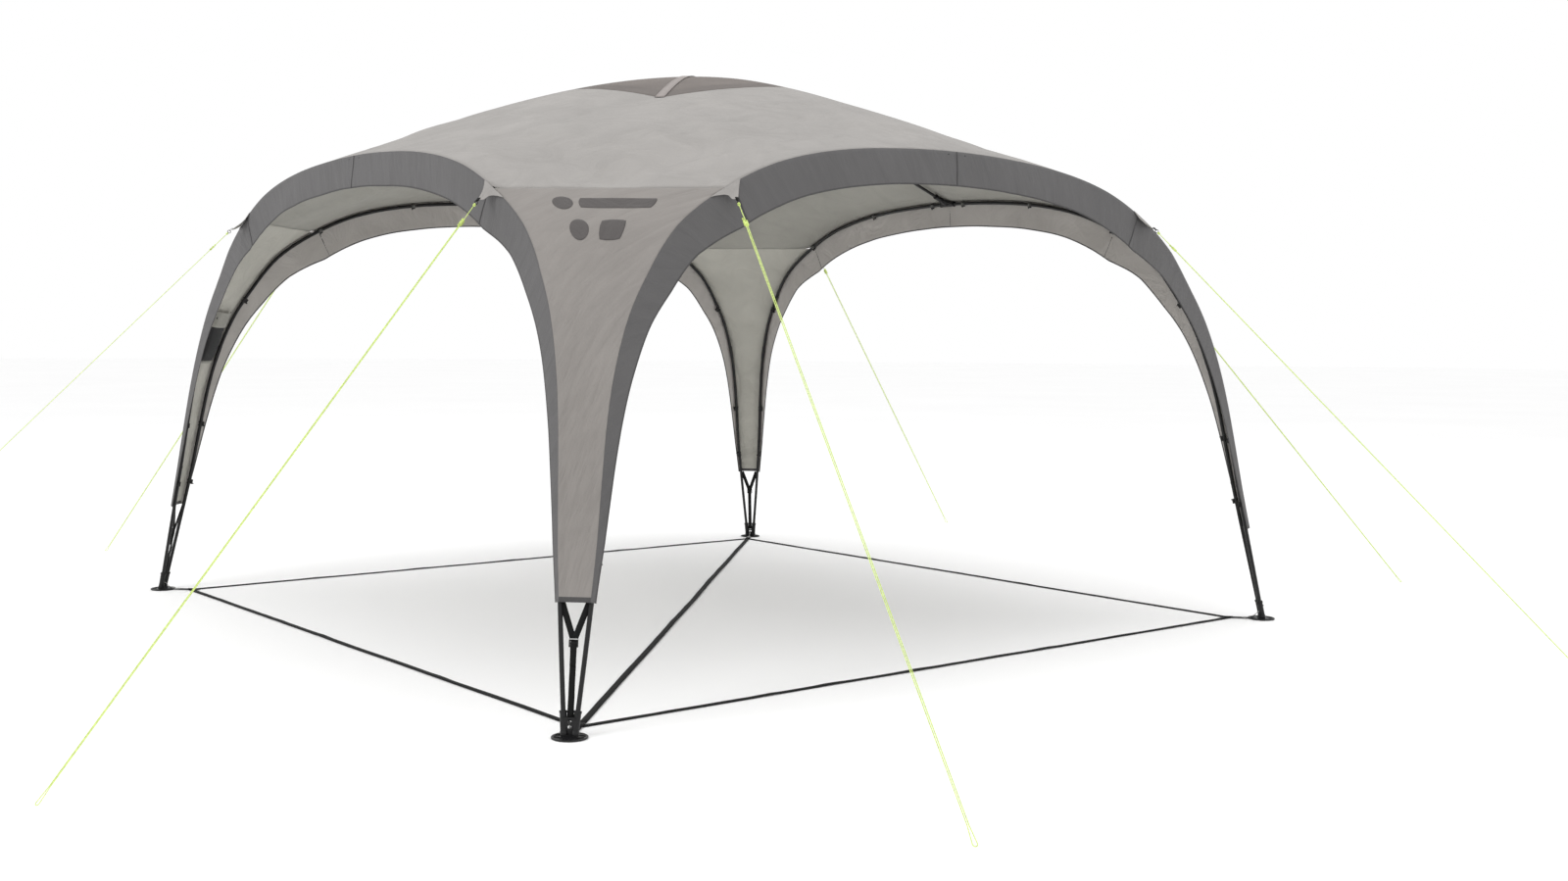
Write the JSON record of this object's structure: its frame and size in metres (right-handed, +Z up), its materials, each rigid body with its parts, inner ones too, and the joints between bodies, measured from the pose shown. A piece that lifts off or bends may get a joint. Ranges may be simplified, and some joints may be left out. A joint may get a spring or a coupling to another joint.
{
  "type": "event shelter",
  "caption": "Square open-sided shelter: arched poles on round feet, domed cloth roof with a mesh vent, tapering cloth legs, valances, webbing and guylines.",
  "frame": {"origin": "on the ground under the centre of the roof", "axes": "+Z up; -Y faces the front right doorway and -X the front left doorway, so the front leg stands at -X -Y"},
  "size_m": [6.6984, 6.6984, 2.414],
  "materials": {
    "black_pole": "satin black coated tube",
    "foot_plastic": "moulded black",
    "connector_plastic": "moulded black",
    "roof_cloth": "light warm grey coated polyester",
    "leg_cloth": "warm grey coated polyester",
    "valance_cloth": "dark grey coated polyester",
    "vent_mesh": "brown-grey fine mesh",
    "pocket_mesh": "black mesh with grey flap",
    "webbing": "black woven webbing",
    "buckle_plastic": "black",
    "guyline": "lime braided cord",
    "slider_plastic": "lime line runner"
  },
  "bodies": {
    "shelter": {"arch_pole_front_right": "black_pole", "leg_tube_front_right_a": "black_pole", "leg_tube_front_right_b": "black_pole", "arch_pole_back_right": "black_pole", "leg_tube_back_right_a": "black_pole", "leg_tube_back_right_b": "black_pole", "arch_pole_back_left": "black_pole", "leg_tube_back_left_a": "black_pole", "leg_tube_back_left_b": "black_pole", "arch_pole_front_left": "black_pole", "leg_tube_front_left_a": "black_pole", "leg_tube_front_left_b": "black_pole", "foot_front": "foot_plastic", "foot_right": "foot_plastic", "foot_back": "foot_plastic", "foot_left": "foot_plastic", "roof_pole_upper": "black_pole", "roof_pole_lower": "black_pole", "tee_front_right": "connector_plastic", "tee_back_right": "connector_plastic", "tee_back_left": "connector_plastic", "tee_front_left": "connector_plastic", "centre_hub": "connector_plastic", "canopy_roof": "roof_cloth", "roof_vent_mesh": "vent_mesh", "canopy_leg_front": "leg_cloth", "canopy_leg_right": "leg_cloth", "canopy_leg_back": "leg_cloth", "canopy_leg_left": "leg_cloth", "valance_front_right": "valance_cloth", "valance_back_right": "valance_cloth", "valance_back_left": "valance_cloth", "valance_front_left": "valance_cloth", "storage_pocket": "pocket_mesh", "ground_strap_ring": "webbing", "ground_strap_diagonal": "webbing", "tension_strap_front": "webbing", "tension_strap_right": "webbing", "tension_strap_back": "webbing", "tension_strap_left": "webbing", "guyline_front_right_a": "guyline", "guyline_front_right_b": "guyline", "guyline_back_right_a": "guyline", "guyline_back_right_b": "guyline", "guyline_back_left_a": "guyline", "guyline_back_left_b": "guyline", "guyline_front_left_a": "guyline", "guyline_front_left_b": "guyline"},
    "buckle_front": {"strap_buckle_front": "buckle_plastic"},
    "buckle_right": {"strap_buckle_right": "buckle_plastic"},
    "buckle_back": {"strap_buckle_back": "buckle_plastic"},
    "buckle_left": {"strap_buckle_left": "buckle_plastic"},
    "slider_front_right_a": {"guy_slider_front_right_a": "slider_plastic"},
    "slider_front_right_b": {"guy_slider_front_right_b": "slider_plastic"},
    "slider_back_right_a": {"guy_slider_back_right_a": "slider_plastic"},
    "slider_back_right_b": {"guy_slider_back_right_b": "slider_plastic"},
    "slider_back_left_a": {"guy_slider_back_left_a": "slider_plastic"},
    "slider_back_left_b": {"guy_slider_back_left_b": "slider_plastic"},
    "slider_front_left_a": {"guy_slider_front_left_a": "slider_plastic"},
    "slider_front_left_b": {"guy_slider_front_left_b": "slider_plastic"}
  },
  "joints": [
    {"name": "buckle_front_slide", "type": "slide", "parent": "shelter", "child": "buckle_front", "axis": [0.1571, 0.1571, 0.975], "range_m": [0, 0.03]},
    {"name": "buckle_right_slide", "type": "slide", "parent": "shelter", "child": "buckle_right", "axis": [-0.1571, 0.1571, 0.975], "range_m": [0, 0.03]},
    {"name": "buckle_back_slide", "type": "slide", "parent": "shelter", "child": "buckle_back", "axis": [-0.1571, -0.1571, 0.975], "range_m": [0, 0.03]},
    {"name": "buckle_left_slide", "type": "slide", "parent": "shelter", "child": "buckle_left", "axis": [0.1571, -0.1571, 0.975], "range_m": [0, 0.03]},
    {"name": "slider_front_right_a_slide", "type": "slide", "parent": "shelter", "child": "slider_front_right_a", "axis": [-0.2131, -0.672, -0.7093], "range_m": [-0.05, 0.6]},
    {"name": "slider_front_right_b_slide", "type": "slide", "parent": "shelter", "child": "slider_front_right_b", "axis": [0.2131, -0.672, -0.7093], "range_m": [-0.05, 0.6]},
    {"name": "slider_back_right_a_slide", "type": "slide", "parent": "shelter", "child": "slider_back_right_a", "axis": [0.672, -0.2131, -0.7093], "range_m": [-0.05, 0.6]},
    {"name": "slider_back_right_b_slide", "type": "slide", "parent": "shelter", "child": "slider_back_right_b", "axis": [0.672, 0.2131, -0.7093], "range_m": [-0.05, 0.6]},
    {"name": "slider_back_left_a_slide", "type": "slide", "parent": "shelter", "child": "slider_back_left_a", "axis": [0.2131, 0.672, -0.7093], "range_m": [-0.05, 0.6]},
    {"name": "slider_back_left_b_slide", "type": "slide", "parent": "shelter", "child": "slider_back_left_b", "axis": [-0.2131, 0.672, -0.7093], "range_m": [-0.05, 0.6]},
    {"name": "slider_front_left_a_slide", "type": "slide", "parent": "shelter", "child": "slider_front_left_a", "axis": [-0.672, 0.2131, -0.7093], "range_m": [-0.05, 0.6]},
    {"name": "slider_front_left_b_slide", "type": "slide", "parent": "shelter", "child": "slider_front_left_b", "axis": [-0.672, -0.2131, -0.7093], "range_m": [-0.05, 0.6]}
  ]
}
